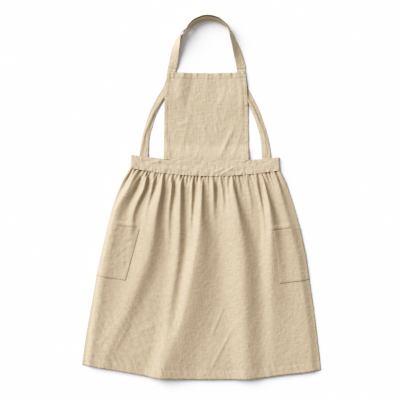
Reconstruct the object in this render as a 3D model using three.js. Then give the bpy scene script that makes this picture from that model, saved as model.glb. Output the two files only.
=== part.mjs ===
// A cross back apron of natural linen, lying flat on its back.
// Millimetres: +X is the wearer's left, +Y runs from the hem to the neck, +Z is up from the surface.
// While it is built, x is 0 on the apron's middle line and y is 0 at the middle of the waist seam.
import * as THREE from "three";

// Cloth
const CLOTH = 1.2;
const BAND_CLOTH = 2.4;
const POCKET_CLOTH = 1;
const STRAP_CLOTH = 1.6;
const SEAM_GAP = 0.3;

// Waistband
const WAIST_WIDTH = 494;
const WAIST_TOP_WIDTH = 488;
const WAIST_HEIGHT = 50;
const WAIST_BOW = 23;
const WAIST_TOP_BOW = 17;
const WAIST_SLANT = 8;
const BAND_RISE = 10;
const BAND_RETURN = 64;

// Skirt
const SKIRT_LENGTH = 669;
const HEM_WIDTH = 788;
const HEM_SHIFT = 12;
const HEM_RISE = 12;
const BACK_HEM_WIDTH = 165;
const FOLD_RISE = 17;
const GATHER_LENGTH = 50;
const GATHER_SEAM_SHARE = 0.3;
const SIDE_ROUNDING = 16;

// Pockets
const POCKET_DROP = 190;
const POCKET_HEIGHT = 175;
const POCKET_WIDTH = 160;
const POCKET_FRONT = 97;
const LEFT_MOUTH_TURN = 7;
const RIGHT_MOUTH_TURN = 8;
const LIFT_LENGTH = 110;

// Bib
const BIB_HEIGHT = 294;
const BIB_TOP_WIDTH = 259;
const BIB_WAIST_WIDTH = 280;
const BIB_SHIFT = 4;
const BIB_SAG = 4;
const BIB_WRINKLE = 2.2;
const BIB_WRINKLE_COUNT = 5;

// Straps
const STRAP_WIDTH = 29;
const NECK_WIDTH = 229;
const NECK_HEIGHT = 175;
const NECK_SHIFT = 5;
const SEWN_LENGTH = 40;
const RUN_SPREAD = 88;
const STRAP_TUCK = 24;
const CROSSING_WIDTH_SHARE = 0.58;
const SEWN_LAYERS = 1.15;

// Shape tables: lengths are shares of the named sizes above
// How far each side of the skirt has spread from the seam's width to the hem's, on the way down
const SKIRT_SPREAD = {
  down: [0, 0.06, 0.15, 0.22, 0.28, 0.42, 0.55, 0.68, 0.82, 0.92, 1],
  left: [0, 0.152, 0.304, 0.395, 0.45, 0.582, 0.7, 0.792, 0.896, 0.958, 1],
  right: [0, 0.153, 0.305, 0.4, 0.478, 0.62, 0.715, 0.818, 0.903, 0.96, 1],
};

// The skirt's length across the front, as a share of its length in the middle
const SKIRT_DROP = {
  across: [0, 0.12, 0.22, 0.32, 0.5, 0.65, 0.74, 0.83, 0.93, 1],
  share: [0.968, 0.976, 0.987, 0.999, 1, 1, 0.999, 0.99, 0.987, 0.982],
};

// Folds of the front: where each ridge runs across the panel and how high it stands, at the seam,
// a third down, two thirds down and at the hem, and how wide its left and right slopes are
const SKIRT_FOLDS = [
  { at: [0.055, 0.01, 0.02, 0.03], high: [0.5, 0.45, 0.3, 0.15], left: 0.03, right: 0.06 },
  { at: [0.13, 0.125, 0.12, 0.12], high: [0.6, 0.05, 0, 0], left: 0.025, right: 0.03 },
  { at: [0.18, 0.185, 0.19, 0.19], high: [0.35, 0, 0, 0], left: 0.02, right: 0.02 },
  { at: [0.225, 0.238, 0.17, 0.085], high: [0.9, 0.95, 0.6, 0.25], left: 0.075, right: 0.055 },
  { at: [0.29, 0.315, 0.33, 0.34], high: [0.5, 0, 0, 0], left: 0.02, right: 0.02 },
  { at: [0.345, 0.368, 0.35, 0.32], high: [0.8, 0.8, 0.5, 0.2], left: 0.04, right: 0.035 },
  { at: [0.42, 0.43, 0.43, 0.43], high: [0.45, 0.05, 0, 0], left: 0.02, right: 0.02 },
  { at: [0.48, 0.468, 0.42, 0.34], high: [1, 1.1, 1, 0.65], left: 0.05, right: 0.085 },
  { at: [0.55, 0.555, 0.56, 0.57], high: [0.6, 0.05, 0, 0], left: 0.025, right: 0.025 },
  { at: [0.608, 0.605, 0.6, 0.6], high: [0.4, 0, 0, 0], left: 0.02, right: 0.02 },
  { at: [0.642, 0.64, 0.635, 0.63], high: [0.25, 0, 0, 0], left: 0.02, right: 0.02 },
  { at: [0.682, 0.693, 0.692, 0.69], high: [1, 1.1, 1, 0.7], left: 0.09, right: 0.065 },
  { at: [0.772, 0.755, 0.735, 0.725], high: [0.35, 0, 0, 0], left: 0.02, right: 0.02 },
  { at: [0.828, 0.81, 0.78, 0.765], high: [0.45, 0.1, 0, 0], left: 0.025, right: 0.02 },
  { at: [0.873, 0.848, 0.815, 0.8], high: [0.85, 0.85, 0.4, 0.1], left: 0.055, right: 0.055 },
  { at: [0.955, 0.95, 0.965, 0.96], high: [0.45, 0.2, 0.05, 0], left: 0.04, right: 0.025 },
];

// How far each side of the bib has spread from the waist's width to the top's, on the way down
const BIB_SPREAD = {
  down: [0, 0.16, 0.32, 0.55, 0.78, 1],
  left: [1, 0.6, 0.25, 0.12, 0.05, 0],
  right: [1, 0.5, 0.28, 0.05, 0, 0],
};

// Where the bib rests, as shares of its half width (middle and strap edge) and of its height: it lies
// on the straps down to their foot, on the surface further down, and rises to the waistband
const BIB_REST = { middle: 0.2, strapEdge: 0.62, strapFoot: 0.3, surface: 0.55, leavesSurface: 0.8 };

// The neck loop, from the left leg over the top to the right leg: its middle line (x from the middle
// and y up from the bib's top), its lean (degrees that the inner edge is raised), how far the two
// straps lie apart (share of a strap's width), which side the left strap takes (1 is outside), and
// how far one has climbed over the other
const NECK_LOOP = [
  { x: -1, y: 0, lean: 0, apart: 0.04, side: 1, cross: 0 },
  { x: -0.948, y: 0.174, lean: 10, apart: 0.05, side: 1, cross: 0 },
  { x: -0.908, y: 0.335, lean: 24, apart: 0.06, side: 1, cross: 0 },
  { x: -0.85, y: 0.492, lean: 45, apart: 0.06, side: 1, cross: 0 },
  { x: -0.776, y: 0.634, lean: 66, apart: 0.06, side: 1, cross: 0.1 },
  { x: -0.7, y: 0.715, lean: 84, apart: 0.06, side: 1, cross: 0.95 },
  { x: -0.632, y: 0.766, lean: 90, apart: 0.06, side: 0, cross: 1 },
  { x: -0.56, y: 0.812, lean: 95, apart: 0.06, side: -1, cross: 0.95 },
  { x: -0.47, y: 0.865, lean: 103, apart: 0.08, side: -1, cross: 0.1 },
  { x: -0.35, y: 0.928, lean: 106, apart: 0.12, side: -1, cross: 0 },
  { x: -0.2, y: 0.972, lean: 108, apart: 0.15, side: -1, cross: 0 },
  { x: -0.022, y: 1, lean: 109, apart: 0.15, side: -1, cross: 0 },
  { x: 0.157, y: 0.996, lean: 108, apart: 0.13, side: -1, cross: 0 },
  { x: 0.342, y: 0.962, lean: 104, apart: 0.1, side: -1, cross: 0 },
  { x: 0.492, y: 0.905, lean: 98, apart: 0.06, side: -1, cross: 0 },
  { x: 0.61, y: 0.838, lean: 90, apart: 0.06, side: -1, cross: 0 },
  { x: 0.684, y: 0.75, lean: 77, apart: 0.06, side: -1, cross: 0 },
  { x: 0.757, y: 0.605, lean: 56, apart: 0.06, side: -1, cross: 0 },
  { x: 0.842, y: 0.448, lean: 36, apart: 0.06, side: -1, cross: 0 },
  { x: 0.914, y: 0.283, lean: 22, apart: 0.06, side: -1, cross: 0 },
  { x: 0.975, y: 0.137, lean: 12, apart: 0.05, side: -1, cross: 0 },
  { x: 1, y: 0, lean: 0, apart: 0.04, side: -1, cross: 0 },
];

// The runs from the loop's foot down to the waistband, on the apron's left side and on its right: how
// far out each has gone, how far down, how many straps it lies on, and its width where it is curled
const STRAP_RUN = [
  { left: 0.05, right: 0.03, down: 0.09, onto: 0, leftWidth: 1, rightWidth: 1 },
  { left: 0.18, right: 0.1, down: 0.2, onto: 0, leftWidth: 0.94, rightWidth: 0.94 },
  { left: 0.42, right: 0.31, down: 0.32, onto: 0, leftWidth: 0.85, rightWidth: 0.87 },
  { left: 0.67, right: 0.545, down: 0.47, onto: 0, leftWidth: 0.82, rightWidth: 0.85 },
  { left: 0.86, right: 0.735, down: 0.64, onto: 0, leftWidth: 0.81, rightWidth: 0.86 },
  { left: 0.98, right: 0.87, down: 0.8, onto: 0.3, leftWidth: 0.86, rightWidth: 0.92 },
  { left: 1.05, right: 0.94, down: 1, onto: 1.55, leftWidth: 1, rightWidth: 1 },
];

// Rows and columns of the cloth's facets; the rows crowd towards the waist seam
const SEAM_CROWDING = 1.4;
const ROWS_ABOVE_POCKET = 6;
const ROWS_BESIDE_POCKET = 3;
const ROWS_BELOW_POCKET = 5;
const SIDE_COLUMNS = 11;
const MIDDLE_COLUMNS = 60;
const TURN_COLUMNS = 5;
const POCKET_BACK_COLUMNS = 3;
const BACK_COLUMNS = 3;
const BIB_ROWS = 14;
const BIB_COLUMNS = 18;
const BAND_ROWS = 3;
const STEPS_PER_STATION = 3;

function mix(a, b, share) {
  return a + (b - a) * share;
}

function steps(count) {
  return Array.from({ length: count + 1 }, (unused, i) => i / count);
}

function smoothStep(from, to, value) {
  const share = THREE.MathUtils.clamp((value - from) / (to - from), 0, 1);
  return share * share * (3 - 2 * share);
}

// The value at a place in a table of two columns, along straight lines between its rows
function lookUp(places, values, place) {
  const next = Math.max(1, places.findIndex((p) => p >= place));
  const share = (place - places[next - 1]) / (places[next] - places[next - 1]);
  return mix(values[next - 1], values[next], share);
}

// A smooth curve through evenly spaced values
function curveThrough(values, share) {
  const last = values.length - 1;
  const i = Math.min(Math.floor(share * last), last - 1);
  const t = share * last - i;
  const [a, b, c, d] = [Math.max(i - 1, 0), i, i + 1, Math.min(i + 2, last)].map((k) => values[k]);
  const slopeIn = (c - a) / 2;
  const slopeOut = (d - b) / 2;
  return (2 * b - 2 * c + slopeIn + slopeOut) * t ** 3
    + (3 * c - 3 * b - 2 * slopeIn - slopeOut) * t ** 2 + slopeIn * t + b;
}

// A closed sheet between two grids of points with the same rows and columns; seen from its front
// face, rows run down and columns run to the right
function sheetBetween(front, back) {
  const rows = front.length;
  const columns = front[0].length;
  const positions = [front, back].flat(2).flatMap((p) => [p.x, p.y, p.z]);
  const at = (face, row, column) => (face * rows + row) * columns + column;
  const index = [];
  const quad = (a, b, c, d) => index.push(a, b, c, a, c, d);
  for (let r = 0; r < rows - 1; r++) {
    for (let c = 0; c < columns - 1; c++) {
      quad(at(0, r, c), at(0, r + 1, c), at(0, r + 1, c + 1), at(0, r, c + 1));
      quad(at(1, r, c), at(1, r, c + 1), at(1, r + 1, c + 1), at(1, r + 1, c));
    }
    const end = columns - 1;
    quad(at(0, r + 1, 0), at(0, r, 0), at(1, r, 0), at(1, r + 1, 0));
    quad(at(0, r, end), at(0, r + 1, end), at(1, r + 1, end), at(1, r, end));
  }
  for (let c = 0; c < columns - 1; c++) {
    const end = rows - 1;
    quad(at(0, 0, c), at(0, 0, c + 1), at(1, 0, c + 1), at(1, 0, c));
    quad(at(0, end, c + 1), at(0, end, c), at(1, end, c), at(1, end, c + 1));
  }
  const geometry = new THREE.BufferGeometry();
  geometry.setAttribute("position", new THREE.Float32BufferAttribute(positions, 3));
  geometry.setIndex(index);
  geometry.computeVertexNormals();
  return geometry;
}

function clothPiece(name, color, geometry) {
  const cloth = new THREE.MeshStandardMaterial({ color, roughness: 0.92, metalness: 0 });
  const piece = new THREE.Mesh(geometry, cloth);
  piece.name = name;
  return piece;
}

// Moves each point of a row of {x, z} points out along the row's normal, to the left of its course
function offsetRow(points, distance) {
  return points.map((point, i) => {
    const before = points[Math.max(i - 1, 0)];
    const after = points[Math.min(i + 1, points.length - 1)];
    const length = Math.hypot(after.x - before.x, after.z - before.z);
    const normalX = -(after.z - before.z) / length;
    const normalZ = (after.x - before.x) / length;
    return { ...point, x: point.x + normalX * distance, z: point.z + normalZ * distance };
  });
}

// Waistband and skirt wrap round the body: a row of points runs from the inner end of the left back
// part, round the left side fold, over the front, round the right fold and to the right back end
function wrapRow({ left, right, base, rise, backWidth, leftFront, rightFront, relief }) {
  const radius = rise / 2;
  const turn = steps(TURN_COLUMNS).slice(1, -1).map((share) => ({
    distance: radius * (1 - Math.sin(Math.PI * share)),
    height: radius * (1 - Math.cos(Math.PI * share)),
  }));
  const half = (front) => [
    ...backStops(backWidth, front).map((distance) => ({ distance, height: 0 })),
    { distance: radius, height: 0 },
    ...turn,
    ...[radius, ...sideStops(radius, front)].map((distance) => ({ distance, height: rise })),
  ];
  const leftHalf = half(leftFront).map((p) => ({ x: left + p.distance, z: base + p.height }));
  const rightHalf = half(rightFront).map((p) => ({ x: right - p.distance, z: base + p.height }));
  const from = leftHalf.at(-1).x;
  const to = rightHalf.at(-1).x;
  const middle = steps(MIDDLE_COLUMNS).slice(1, -1).map((share) => ({
    x: mix(from, to, share),
    z: base + rise,
  }));
  const row = [...leftHalf, ...middle, ...rightHalf.reverse()];
  const firstFront = leftHalf.length - SIDE_COLUMNS - 1;
  const lastFront = row.length - 1 - firstFront;
  return row.map((point, i) => {
    const onFront = i >= firstFront && i <= lastFront;
    const across = THREE.MathUtils.clamp((point.x - left) / (right - left), 0, 1);
    return { x: point.x, z: point.z + (onFront ? relief(across) : 0), across };
  });
}

// The waist's two edges bow down in the middle
function bowAt(across, depth) {
  const t = 2 * across - 1;
  return depth * t * t - WAIST_SLANT * t / 2;
}

function waistSeam(across) {
  return bowAt(across, WAIST_BOW);
}

function waistTop(across) {
  return WAIST_HEIGHT + bowAt(across, WAIST_TOP_BOW);
}

const POCKET_TOP_SHARE = POCKET_DROP / SKIRT_LENGTH;
const POCKET_SHARE = POCKET_HEIGHT / SKIRT_LENGTH;
const POCKET_FOOT_SHARE = POCKET_TOP_SHARE + POCKET_SHARE;

// How far a pocket reaches from the side fold: its foot as far on both sides, its mouth further on
// the left and less far on the right, as each pocket is turned a little
function pocketFront(down, mouthTurn) {
  const above = THREE.MathUtils.clamp(down / POCKET_TOP_SHARE, 0, 1);
  const below = THREE.MathUtils.clamp((down - POCKET_TOP_SHARE) / POCKET_SHARE, 0, 1);
  return POCKET_FRONT + mouthTurn * (above - below);
}

// Back part's columns: some up to the pocket's back edge, the others from there to its own end
function backStops(backWidth, front) {
  const back = POCKET_WIDTH - front;
  const outer = steps(BACK_COLUMNS).map((share) => mix(backWidth, back, share));
  const inner = steps(POCKET_BACK_COLUMNS).slice(1, -1);
  return [...outer, ...inner.map((share) => mix(back, BAND_RISE / 2, share))];
}

function sideStops(radius, front) {
  return steps(SIDE_COLUMNS).slice(1).map((share) => mix(radius, front, share));
}

// A fold's height across its ridge falls to nothing along half a cosine wave on each side
function foldHeight(fold, across, down) {
  const ridge = curveThrough(fold.at, down);
  const height = Math.max(0, curveThrough(fold.high, down));
  const slope = across < ridge ? fold.left : fold.right;
  const reach = Math.min(1, Math.abs(across - ridge) / slope);
  return height * 0.5 * (1 + Math.cos(Math.PI * reach));
}

function skirtSides(down) {
  const spread = (side) => lookUp(SKIRT_SPREAD.down, SKIRT_SPREAD[side], down);
  const hemLeft = -HEM_SHIFT - HEM_WIDTH / 2;
  const hemRight = -HEM_SHIFT + HEM_WIDTH / 2;
  return [
    mix(-WAIST_WIDTH / 2, hemLeft, spread("left")),
    mix(WAIST_WIDTH / 2, hemRight, spread("right")),
  ];
}

// The cloth lies on the pocket's back where there is one, and on the surface above and below it
function skirtBase(down) {
  const lifted = POCKET_CLOTH + SEAM_GAP;
  const above = smoothStep(POCKET_TOP_SHARE - LIFT_LENGTH / SKIRT_LENGTH, POCKET_TOP_SHARE, down);
  const below = smoothStep(POCKET_FOOT_SHARE, POCKET_FOOT_SHARE + LIFT_LENGTH / SKIRT_LENGTH, down);
  return lifted * (above - below);
}

function skirtRow(down) {
  const [left, right] = skirtSides(down);
  const rise = mix(BAND_RISE, HEM_RISE, down);
  const gather = mix(GATHER_SEAM_SHARE, 1, smoothStep(0, GATHER_LENGTH / SKIRT_LENGTH, down));
  const relief = (across) => {
    const toSide = Math.min(across, 1 - across) * (right - left);
    const rounding = smoothStep(0, SIDE_ROUNDING, toSide);
    const heights = SKIRT_FOLDS.map((fold) => foldHeight(fold, across, down));
    return FOLD_RISE * gather * rounding * heights.reduce((sum, height) => sum + height, 0);
  };
  return wrapRow({
    left,
    right,
    base: skirtBase(down),
    rise,
    backWidth: mix(BAND_RETURN, BACK_HEM_WIDTH, down),
    leftFront: pocketFront(down, LEFT_MOUTH_TURN),
    rightFront: pocketFront(down, -RIGHT_MOUTH_TURN),
    relief,
  });
}

// Lays a row of the skirt at its place along the skirt's length
function layRow(row, down) {
  return row.map(({ x, z, across }) => {
    const length = SKIRT_LENGTH * lookUp(SKIRT_DROP.across, SKIRT_DROP.share, across);
    return new THREE.Vector3(x, waistSeam(across) - SEAM_GAP - length * down, z);
  });
}

const POCKET_DOWNS = steps(ROWS_BESIDE_POCKET).map((share) => (
  mix(POCKET_TOP_SHARE, POCKET_FOOT_SHARE, share)));
const SKIRT_DOWNS = [
  ...steps(ROWS_ABOVE_POCKET).slice(0, -1).map((share) => share ** SEAM_CROWDING * POCKET_TOP_SHARE),
  ...POCKET_DOWNS,
  ...steps(ROWS_BELOW_POCKET).slice(1).map((share) => mix(POCKET_FOOT_SHARE, 1, share)),
];

function skirtGeometry() {
  const outside = SKIRT_DOWNS.map((down) => layRow(skirtRow(down), down));
  const inside = SKIRT_DOWNS.map((down) => layRow(offsetRow(skirtRow(down), -CLOTH), down));
  return sheetBetween(outside, inside);
}

// A pocket covers the skirt's own columns, from its back edge round the side fold to its front edge
function pocketGeometry(side) {
  const first = BACK_COLUMNS;
  const count = POCKET_BACK_COLUMNS + TURN_COLUMNS + SIDE_COLUMNS + 1;
  const cover = (row) => (side === "left"
    ? row.slice(first, first + count)
    : row.slice(row.length - first - count, row.length - first));
  const raised = (distance) => POCKET_DOWNS.map((down) => (
    layRow(cover(offsetRow(skirtRow(down), distance)), down)));
  return sheetBetween(raised(SEAM_GAP + POCKET_CLOTH), raised(SEAM_GAP));
}

function waistbandGeometry() {
  const outer = wrapRow({
    left: -WAIST_WIDTH / 2,
    right: WAIST_WIDTH / 2,
    base: 0,
    rise: BAND_RISE,
    backWidth: BAND_RETURN,
    leftFront: POCKET_FRONT,
    rightFront: POCKET_FRONT,
    relief: () => 0,
  });
  const inner = offsetRow(outer, -BAND_CLOTH);
  const narrow = (down) => mix(WAIST_TOP_WIDTH, WAIST_WIDTH, down) / WAIST_WIDTH;
  const lay = (row) => steps(BAND_ROWS).map((down) => row.map(({ x, z, across }) => (
    new THREE.Vector3(x * narrow(down), mix(waistTop(across), waistSeam(across), down), z))));
  return sheetBetween(lay(outer), lay(inner));
}

// The bib lies on the straps at its top corners, sinks to the surface, and rises to the waistband
function bibPoint(across, down, raise) {
  const spread = (side) => lookUp(BIB_SPREAD.down, BIB_SPREAD[side], down);
  const halfWidth = (side) => mix(BIB_WAIST_WIDTH, BIB_TOP_WIDTH, spread(side)) / 2;
  const x = BIB_SHIFT + mix(-halfWidth("left"), halfWidth("right"), across);
  const waistAcross = (x + WAIST_TOP_WIDTH / 2) / WAIST_TOP_WIDTH;
  const foot = waistTop(waistAcross) + SEAM_GAP;
  const top = WAIST_HEIGHT + BIB_HEIGHT - BIB_SAG * Math.sin(Math.PI * across);
  const toCorner = Math.abs(2 * across - 1);
  const onStraps = 2 * (STRAP_CLOTH + SEAM_GAP) + 2 * SEAM_GAP;
  const offStraps = smoothStep(BIB_REST.strapFoot, BIB_REST.surface, down);
  const overStraps = smoothStep(BIB_REST.middle, BIB_REST.strapEdge, toCorner) * (1 - offStraps);
  const toBand = (BAND_RISE - CLOTH) * smoothStep(BIB_REST.leavesSurface, 1, down);
  const wave = Math.sin(Math.PI * across * BIB_WRINKLE_COUNT) * Math.sin(Math.PI * down);
  const wrinkle = BIB_WRINKLE * (1 - toCorner ** 2) * wave ** 2;
  return new THREE.Vector3(x, mix(top, foot, down), onStraps * overStraps + toBand + wrinkle + raise);
}

function bibGeometry() {
  const face = (raise) => steps(BIB_ROWS).map((down) => (
    steps(BIB_COLUMNS).map((across) => bibPoint(across, down, raise))));
  return sheetBetween(face(CLOTH), face(0));
}

// The straps start from the bib's top and lie in layers
const BIB_TOP = WAIST_HEIGHT + BIB_HEIGHT;
const LAYER = STRAP_CLOTH + SEAM_GAP;

// One strap's place at a station of the neck loop: it stands on its lower edge, beside or on its twin
function loopStation({ x, y, lean, apart, side, cross }, isLeft) {
  const angle = THREE.MathUtils.degToRad(lean);
  const away = Math.max(apart * STRAP_WIDTH, LAYER / 2) * side * (isLeft ? 1 : -1);
  const narrow = mix(1, CROSSING_WIDTH_SHARE, cross);
  const standing = Math.sin(angle) * STRAP_WIDTH / 2;
  const narrowed = STRAP_WIDTH * CROSSING_WIDTH_SHARE;
  const crossing = isLeft ? narrowed + LAYER + narrowed / 2 : narrowed / 2;
  const spare = Math.abs(Math.cos(angle)) * (Math.abs(away) + STRAP_CLOTH / 2);
  return {
    x: NECK_SHIFT + x * NECK_WIDTH / 2,
    y: BIB_TOP + y * NECK_HEIGHT,
    z: mix(standing, crossing, cross) + spare,
    lean: angle,
    away,
    width: STRAP_WIDTH * narrow,
  };
}

function flatStation(x, y, layers, width = STRAP_WIDTH) {
  return { x, y, z: layers * LAYER + STRAP_CLOTH / 2, lean: 0, away: 0, width };
}

// The run from the loop's foot to the waistband, whose return carries the strap's end
function runStations(sign) {
  const side = sign < 0 ? "left" : "right";
  const footX = NECK_SHIFT + sign * NECK_WIDTH / 2;
  const drop = BIB_HEIGHT - WAIST_TOP_BOW;
  const run = STRAP_RUN.map((row) => flatStation(
    footX + sign * row[side] * RUN_SPREAD,
    BIB_TOP - row.down * drop,
    row.onto,
    STRAP_WIDTH * row[side + "Width"],
  ));
  const end = run.at(-1);
  return [...run, flatStation(end.x + sign, end.y - STRAP_TUCK, (BAND_CLOTH + SEAM_GAP) / LAYER)];
}

function sewnStation(sign) {
  return flatStation(NECK_SHIFT + sign * NECK_WIDTH / 2, BIB_TOP - SEWN_LENGTH, SEWN_LAYERS);
}

function strapGeometry(isLeft) {
  const loop = NECK_LOOP.map((station) => loopStation(station, isLeft));
  const stations = isLeft
    ? [sewnStation(-1), ...loop, ...runStations(1)]
    : [...runStations(-1).reverse(), ...loop, sewnStation(1)];
  const value = (key, share) => curveThrough(stations.map((station) => station[key]), share);
  const middle = (share) => new THREE.Vector3(...["x", "y", "z"].map((key) => value(key, share)));
  const count = (stations.length - 1) * STEPS_PER_STATION;
  const nudge = 0.5 / count;
  const face = (outside) => steps(count).map((share) => {
    const before = middle(Math.max(share - nudge, 0));
    const course = middle(Math.min(share + nudge, 1)).sub(before);
    const inward = new THREE.Vector3(course.y, -course.x, 0).normalize();
    const lean = value("lean", share);
    const up = new THREE.Vector3(0, 0, 1);
    const across = inward.clone().multiplyScalar(Math.cos(lean)).addScaledVector(up, Math.sin(lean));
    const outward = inward.clone().multiplyScalar(-Math.sin(lean)).addScaledVector(up, Math.cos(lean));
    const half = value("width", share) / 2;
    const centre = middle(share).addScaledVector(outward, value("away", share));
    const reachDown = Math.abs(Math.sin(lean)) * half + Math.abs(Math.cos(lean)) * STRAP_CLOTH / 2;
    centre.z = Math.max(centre.z, reachDown);
    centre.addScaledVector(outward, (outside ? 1 : -1) * STRAP_CLOTH / 2);
    return [-half, half].map((reach) => centre.clone().addScaledVector(across, reach));
  });
  return sheetBetween(face(false), face(true));
}

const apron = new THREE.Group();
apron.add(clothPiece("bib", 0xdfd3bf, bibGeometry()));
apron.add(clothPiece("waistband", 0xd8cbb5, waistbandGeometry()));
apron.add(clothPiece("skirt", 0xdccfba, skirtGeometry()));
apron.add(clothPiece("pocket_left", 0xd5c8b1, pocketGeometry("left")));
apron.add(clothPiece("pocket_right", 0xd5c8b1, pocketGeometry("right")));
apron.add(clothPiece("strap_left", 0xe3d8c5, strapGeometry(true)));
apron.add(clothPiece("strap_right", 0xc9bca5, strapGeometry(false)));

// The part's origin is the middle of its footprint, on the surface
const box = new THREE.Box3().setFromObject(apron);
const middle = box.getCenter(new THREE.Vector3());
apron.position.set(-middle.x, -middle.y, -box.min.z);
const part = new THREE.Group();
part.add(apron);

export default part;
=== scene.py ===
"""A cross back apron of washed natural linen, lying flat on a white table and seen from straight above.

Lengths are millimetres until a mesh is made: x runs to the wearer's left, y from hem to neck and z up
from the table. x is 0 on the apron's middle line and y is 0 at the middle of the waist seam. Left and
right in names are those of someone who looks down on it.
"""

import bpy
import numpy as np
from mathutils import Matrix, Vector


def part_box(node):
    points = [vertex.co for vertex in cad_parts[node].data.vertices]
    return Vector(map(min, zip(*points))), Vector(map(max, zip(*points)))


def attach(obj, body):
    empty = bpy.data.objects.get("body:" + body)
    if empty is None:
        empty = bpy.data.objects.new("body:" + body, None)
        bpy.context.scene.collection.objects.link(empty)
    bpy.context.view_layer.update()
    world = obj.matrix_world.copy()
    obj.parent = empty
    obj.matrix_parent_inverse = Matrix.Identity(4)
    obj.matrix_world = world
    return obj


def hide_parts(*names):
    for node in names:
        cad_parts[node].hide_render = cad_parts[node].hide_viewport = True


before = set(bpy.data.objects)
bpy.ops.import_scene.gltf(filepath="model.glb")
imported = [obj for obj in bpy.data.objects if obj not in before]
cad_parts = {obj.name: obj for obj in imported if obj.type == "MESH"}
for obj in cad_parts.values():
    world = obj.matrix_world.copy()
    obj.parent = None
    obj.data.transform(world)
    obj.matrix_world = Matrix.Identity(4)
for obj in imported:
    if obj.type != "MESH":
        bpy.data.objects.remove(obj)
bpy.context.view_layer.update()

# The walls of the cloth, and the gap between two sheets
SKIRT_WALL = 0.9
BIB_WALL = 0.9
POCKET_WALL = 0.8
BAND_WALL = 2.0
STRAP_WALL = 1.1
SEAM_GAP = 0.3

# The waist: its edges sag by their bow and slant to the right, and the band returns behind the sides
WAIST_WIDTH = 494
WAIST_TOP_WIDTH = 488
WAIST_HEIGHT = 50
WAIST_BOW = 23
WAIST_TOP_BOW = 17
WAIST_SLANT = 8
BAND_RISE = 10
BAND_RETURN = 64
BAND_SEAM = 4
BAND_ROLL = 0.4
BAND_CLEARANCE = 0.8

# The skirt: its cut, how high it lies at the sides and at the hem, and its turned-up hem
SKIRT_LENGTH = 669
HEM_WIDTH = 788
HEM_SHIFT = 12
BACK_HEM_WIDTH = 165
HEM_RISE = 12
SIDE_RISE = 4.2
SIDE_SLOPE = 30
SIDE_SETTLES = 0.12
SIDE_ROUNDING = 16
HEM_TURN = 30
HEM_STEP = 0.5
HEM_DROOP = 2
HEM_DROOP_LENGTH = 80

# Small tucks along the waist seam
TUCK_SPACING = 12
TUCK_DEPTH = 5.5
TUCK_HALF_WIDTH = 2.9
TUCK_LENGTH = 26
TUCK_STRAY = 0.4
TUCK_UNEVENNESS = 0.6

# The pockets, and how they and the skirt above them stand off
POCKET_DROP = 190
POCKET_HEIGHT = 175
POCKET_WIDTH = 160
POCKET_FRONT = 97
LEFT_MOUTH_TURN = 7
RIGHT_MOUTH_TURN = 8
POCKET_HEM = 20
POCKET_LIFT = 1.3
POCKET_LIFT_LENGTH = 110
POCKET_EASE = 0.15
POCKET_FULLNESS = 0.4
MOUTH_OPENS = 2.2
MOUTH_LENGTH = 22
MOUTH_SWELL = 3.2
MOUTH_SWELL_LENGTH = 20

# The bib, and the air that is left under it at its sides and in its middle
BIB_HEIGHT = 294
BIB_TOP_WIDTH = 259
BIB_WAIST_WIDTH = 280
BIB_SHIFT = 4
BIB_SAG = 4
BIB_TUCK = 2.5
BIB_TOP_HEM = 19
BIB_SIDE_HEM = 12
BIB_TOP_GATHER = 18
BIB_AIR = 1.2
BIB_MIDDLE_AIR = 0.6

# The straps, whose heights are counted in layers: a strap with its air
STRAP_WIDTH = 29
STRAP_LENGTH = 800
STRAP_LAYER = 1.6
STRAP_FACE = 0.7
STRAP_ROLL = 0.35
STRAP_TUCK = 24
STRAP_END_HEIGHT = 2.7
SEWN_LENGTH = 40
SEWN_LAYERS = 1.15
RUN_SPREAD = 88
NECK_WIDTH = 229
NECK_HEIGHT = 175
NECK_SHIFT = 5
CROSSING_WIDTH_SHARE = 0.58
UNDER_WIDTH_SHARE = 0.9
CURL_SLOPE = 0.7
CURL_DROP = 0.45
COURSE_STEP = 0.002

# Stitches of sewing thread, and how far a row of them lies from its edge
STITCH_LENGTH = 3.4
STITCH_SPACE = 1.6
STITCH_THICKNESS = 0.45
SEAM_INSET = 2.2

# The groove that a row of stitches or a seam draws in each cloth: its depth and its half width
SKIRT_HEM_GROOVE = (1.0, 2.0)
BAND_GROOVE = (0.5, 1.3)
BIB_TOP_GROOVE = (0.6, 1.6)
BIB_SIDE_GROOVE = (0.6, 1.5)
POCKET_HEM_GROOVE = (0.4, 1.4)
POCKET_EDGE_GROOVE = (0.3, 1.2)
STRAP_GROOVE = (0.4, 0.9)

# The crease across each strap at the loop's foot: its depth, its half width in stations, and its place
FOOT_CREASE = (1.6, 0.1)
FOOT_CREASE_STATION = 1.3

# Wrinkles: height, slant, size across and along the cloth, and the number of their random pattern
SKIRT_WRINKLES = [(0.3, 0, 16, 40, 3), (0.18, 0.5, 9, 16, 4)]
LOW_LEFT_WRINKLES = [(0.9, -0.8, 7, 34, 6)]
SKIRT_HEM_PUCKERS = [(0.9, -0.3, 6, 40, 5)]
BAND_WRINKLES = [(0.7, 0, 20, 12, 21), (0.4, 0, 6, 8, 22)]
BAND_SLANTING_WRINKLES = [(0.8, 0.6, 9, 14, 25)]
BAND_FOOT_PUCKERS = [(1.6, 0, 5, 30, 23)]
BAND_TOP_PUCKERS = [(0.8, 0, 6, 30, 24)]
BIB_TOP_RIPPLE = [(0.8, 0, 16, 10, 31)]
BIB_WRINKLES = [(0.5, 0, 13, 34, 32), (0.3, 0, 5, 16, 33)]
BIB_TOP_PUCKERS = [(2.2, 0, 7, 60, 34)]
BIB_SIDE_PUCKERS = [(0.7, 0, 30, 7, 35)]
LEFT_POCKET_WRINKLES = [(0.5, 0, 10, 12, 41)]
RIGHT_POCKET_WRINKLES = [(0.2, 0, 10, 12, 42)]
LEFT_STRAP_WRINKLES = [(0.5, 0, 6, 16, 51), (0.35, 0, 3, 7, 53)]
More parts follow.
